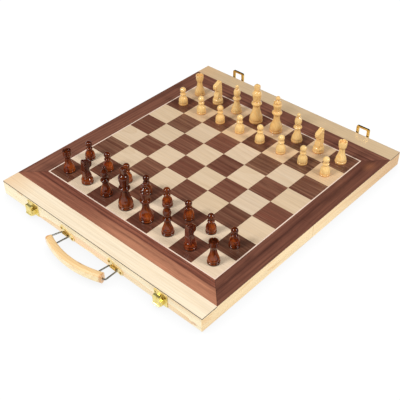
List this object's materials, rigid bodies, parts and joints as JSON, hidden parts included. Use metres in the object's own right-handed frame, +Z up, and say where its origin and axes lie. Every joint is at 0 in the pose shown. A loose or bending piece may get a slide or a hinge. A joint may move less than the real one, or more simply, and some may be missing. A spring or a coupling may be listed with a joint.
{
  "type": "chess set with folding board",
  "caption": "Folding wooden chess board case with walnut and maple squares, brass hinges, latches and hasps, a wooden carrying handle and a full set of turned chess pieces.",
  "frame": {"origin": "on the table plane, at the middle of the fold line between the two halves", "axes": "+X to the right along the fold as seen from the handle side, +Y from the handle end towards the hasp end, +Z up out of the playing surface"},
  "size_m": [0.385, 0.4842, 0.09],
  "materials": {
    "panel_core": "dark brown board core",
    "walnut": "satin lacquered walnut veneer",
    "maple": "satin lacquered pale maple veneer",
    "walnut_border": "satin lacquered walnut veneer, grain along each strip",
    "end_maple": "satin lacquered pale maple veneer",
    "pine": "clear lacquered pale softwood",
    "grip_wood": "clear lacquered pale wood",
    "felt": "green felt",
    "brass": "polished brass plate",
    "latch_brass": "bright brass plate",
    "brass_screw": "polished",
    "steel": "bright wire",
    "boxwood": "glossy clear lacquer",
    "mahogany": "glossy red-brown stain and lacquer"
  },
  "bodies": {
    "near_half": {"near_panel": "panel_core", "near_dark_squares": "walnut", "near_light_squares": "maple", "near_border": "walnut_border", "near_end_strip": "end_maple", "near_frame": "pine", "near_felt": "felt", "near_hinge_leaves": "brass", "near_screws": "brass_screw", "hinge_pins": "steel", "handle_brackets": "brass", "latch_plates": "latch_brass"},
    "far_half": {"far_panel": "panel_core", "far_dark_squares": "walnut", "far_light_squares": "maple", "far_border": "walnut_border", "far_end_strip": "end_maple", "far_frame": "pine", "far_felt": "felt", "far_hinge_leaves": "brass", "far_screws": "brass_screw", "hasp_plates": "brass"},
    "handle": {"handle_grip": "grip_wood", "handle_bails": "steel"},
    "latch_left": {"latch_catch_left": "latch_brass"},
    "latch_right": {"latch_catch_right": "latch_brass"},
    "left_hasp": {"hasp_left": "brass"},
    "right_hasp": {"hasp_right": "brass"},
    "white_rook_h_body": {"white_rook_h": "boxwood"},
    "white_knight_g_body": {"white_knight_g": "boxwood"},
    "white_bishop_f_body": {"white_bishop_f": "boxwood"},
    "white_king_body": {"white_king": "boxwood"},
    "white_queen_body": {"white_queen": "boxwood"},
    "white_bishop_c_body": {"white_bishop_c": "boxwood"},
    "white_knight_b_body": {"white_knight_b": "boxwood"},
    "white_rook_a_body": {"white_rook_a": "boxwood"},
    "white_pawn_h_body": {"white_pawn_h": "boxwood"},
    "white_pawn_g_body": {"white_pawn_g": "boxwood"},
    "white_pawn_f_body": {"white_pawn_f": "boxwood"},
    "white_pawn_e_body": {"white_pawn_e": "boxwood"},
    "white_pawn_d_body": {"white_pawn_d": "boxwood"},
    "white_pawn_c_body": {"white_pawn_c": "boxwood"},
    "white_pawn_b_body": {"white_pawn_b": "boxwood"},
    "white_pawn_a_body": {"white_pawn_a": "boxwood"},
    "black_rook_h_body": {"black_rook_h": "mahogany"},
    "black_knight_g_body": {"black_knight_g": "mahogany"},
    "black_bishop_f_body": {"black_bishop_f": "mahogany"},
    "black_king_body": {"black_king": "mahogany"},
    "black_queen_body": {"black_queen": "mahogany"},
    "black_bishop_c_body": {"black_bishop_c": "mahogany"},
    "black_knight_b_body": {"black_knight_b": "mahogany"},
    "black_rook_a_body": {"black_rook_a": "mahogany"},
    "black_pawn_h_body": {"black_pawn_h": "mahogany"},
    "black_pawn_g_body": {"black_pawn_g": "mahogany"},
    "black_pawn_f_body": {"black_pawn_f": "mahogany"},
    "black_pawn_e_body": {"black_pawn_e": "mahogany"},
    "black_pawn_d_body": {"black_pawn_d": "mahogany"},
    "black_pawn_c_body": {"black_pawn_c": "mahogany"},
    "black_pawn_b_body": {"black_pawn_b": "mahogany"},
    "black_pawn_a_body": {"black_pawn_a": "mahogany"}
  },
  "joints": [
    {"name": "fold", "type": "hinge", "parent": "near_half", "child": "far_half", "pos_m": [0, 0, 0.0015], "axis": [-1, 0, 0], "range_deg": [0, 179.5]},
    {"name": "handle_swing", "type": "hinge", "parent": "near_half", "child": "handle", "pos_m": [-0.005, -0.2222, 0.009], "axis": [-1, 0, 0], "range_deg": [-77, 83]},
    {"name": "hasp_left_turn", "type": "hinge", "parent": "far_half", "child": "left_hasp", "pos_m": [-0.125, 0.2219, 0.008], "axis": [-1, 0, 0], "range_deg": [0, 180]},
    {"name": "hasp_right_turn", "type": "hinge", "parent": "far_half", "child": "right_hasp", "pos_m": [0.125, 0.2219, 0.008], "axis": [-1, 0, 0], "range_deg": [0, 180]},
    {"name": "latch_left_slide", "type": "slide", "parent": "near_half", "child": "latch_left", "axis": [0, 0, -1], "range_m": [0, 0.0045], "stiffness_N_per_m": 300, "springref_m": -0.002},
    {"name": "latch_right_slide", "type": "slide", "parent": "near_half", "child": "latch_right", "axis": [0, 0, -1], "range_m": [0, 0.0045], "stiffness_N_per_m": 300, "springref_m": -0.002},
    {"name": "lift_white_rook_h", "type": "slide", "parent": "far_half", "child": "white_rook_h_body", "axis": [0, 0, 1], "range_m": [0, 0.1]},
    {"name": "lift_white_knight_g", "type": "slide", "parent": "far_half", "child": "white_knight_g_body", "axis": [0, 0, 1], "range_m": [0, 0.1]},
    {"name": "lift_white_bishop_f", "type": "slide", "parent": "far_half", "child": "white_bishop_f_body", "axis": [0, 0, 1], "range_m": [0, 0.1]},
    {"name": "lift_white_king", "type": "slide", "parent": "far_half", "child": "white_king_body", "axis": [0, 0, 1], "range_m": [0, 0.1]},
    {"name": "lift_white_queen", "type": "slide", "parent": "far_half", "child": "white_queen_body", "axis": [0, 0, 1], "range_m": [0, 0.1]},
    {"name": "lift_white_bishop_c", "type": "slide", "parent": "far_half", "child": "white_bishop_c_body", "axis": [0, 0, 1], "range_m": [0, 0.1]},
    {"name": "lift_white_knight_b", "type": "slide", "parent": "far_half", "child": "white_knight_b_body", "axis": [0, 0, 1], "range_m": [0, 0.1]},
    {"name": "lift_white_rook_a", "type": "slide", "parent": "far_half", "child": "white_rook_a_body", "axis": [0, 0, 1], "range_m": [0, 0.1]},
    {"name": "lift_white_pawn_h", "type": "slide", "parent": "far_half", "child": "white_pawn_h_body", "axis": [0, 0, 1], "range_m": [0, 0.1]},
    {"name": "lift_white_pawn_g", "type": "slide", "parent": "far_half", "child": "white_pawn_g_body", "axis": [0, 0, 1], "range_m": [0, 0.1]},
    {"name": "lift_white_pawn_f", "type": "slide", "parent": "far_half", "child": "white_pawn_f_body", "axis": [0, 0, 1], "range_m": [0, 0.1]},
    {"name": "lift_white_pawn_e", "type": "slide", "parent": "far_half", "child": "white_pawn_e_body", "axis": [0, 0, 1], "range_m": [0, 0.1]},
    {"name": "lift_white_pawn_d", "type": "slide", "parent": "far_half", "child": "white_pawn_d_body", "axis": [0, 0, 1], "range_m": [0, 0.1]},
    {"name": "lift_white_pawn_c", "type": "slide", "parent": "far_half", "child": "white_pawn_c_body", "axis": [0, 0, 1], "range_m": [0, 0.1]},
    {"name": "lift_white_pawn_b", "type": "slide", "parent": "far_half", "child": "white_pawn_b_body", "axis": [0, 0, 1], "range_m": [0, 0.1]},
    {"name": "lift_white_pawn_a", "type": "slide", "parent": "far_half", "child": "white_pawn_a_body", "axis": [0, 0, 1], "range_m": [0, 0.1]},
    {"name": "lift_black_rook_h", "type": "slide", "parent": "near_half", "child": "black_rook_h_body", "axis": [0, 0, 1], "range_m": [0, 0.1]},
    {"name": "lift_black_knight_g", "type": "slide", "parent": "near_half", "child": "black_knight_g_body", "axis": [0, 0, 1], "range_m": [0, 0.1]},
    {"name": "lift_black_bishop_f", "type": "slide", "parent": "near_half", "child": "black_bishop_f_body", "axis": [0, 0, 1], "range_m": [0, 0.1]},
    {"name": "lift_black_king", "type": "slide", "parent": "near_half", "child": "black_king_body", "axis": [0, 0, 1], "range_m": [0, 0.1]},
    {"name": "lift_black_queen", "type": "slide", "parent": "near_half", "child": "black_queen_body", "axis": [0, 0, 1], "range_m": [0, 0.1]},
    {"name": "lift_black_bishop_c", "type": "slide", "parent": "near_half", "child": "black_bishop_c_body", "axis": [0, 0, 1], "range_m": [0, 0.1]},
    {"name": "lift_black_knight_b", "type": "slide", "parent": "near_half", "child": "black_knight_b_body", "axis": [0, 0, 1], "range_m": [0, 0.1]},
    {"name": "lift_black_rook_a", "type": "slide", "parent": "near_half", "child": "black_rook_a_body", "axis": [0, 0, 1], "range_m": [0, 0.1]},
    {"name": "lift_black_pawn_h", "type": "slide", "parent": "near_half", "child": "black_pawn_h_body", "axis": [0, 0, 1], "range_m": [0, 0.1]},
    {"name": "lift_black_pawn_g", "type": "slide", "parent": "near_half", "child": "black_pawn_g_body", "axis": [0, 0, 1], "range_m": [0, 0.1]},
    {"name": "lift_black_pawn_f", "type": "slide", "parent": "near_half", "child": "black_pawn_f_body", "axis": [0, 0, 1], "range_m": [0, 0.1]},
    {"name": "lift_black_pawn_e", "type": "slide", "parent": "near_half", "child": "black_pawn_e_body", "axis": [0, 0, 1], "range_m": [0, 0.1]},
    {"name": "lift_black_pawn_d", "type": "slide", "parent": "near_half", "child": "black_pawn_d_body", "axis": [0, 0, 1], "range_m": [0, 0.1]},
    {"name": "lift_black_pawn_c", "type": "slide", "parent": "near_half", "child": "black_pawn_c_body", "axis": [0, 0, 1], "range_m": [0, 0.1]},
    {"name": "lift_black_pawn_b", "type": "slide", "parent": "near_half", "child": "black_pawn_b_body", "axis": [0, 0, 1], "range_m": [0, 0.1]},
    {"name": "lift_black_pawn_a", "type": "slide", "parent": "near_half", "child": "black_pawn_a_body", "axis": [0, 0, 1], "range_m": [0, 0.1]}
  ]
}
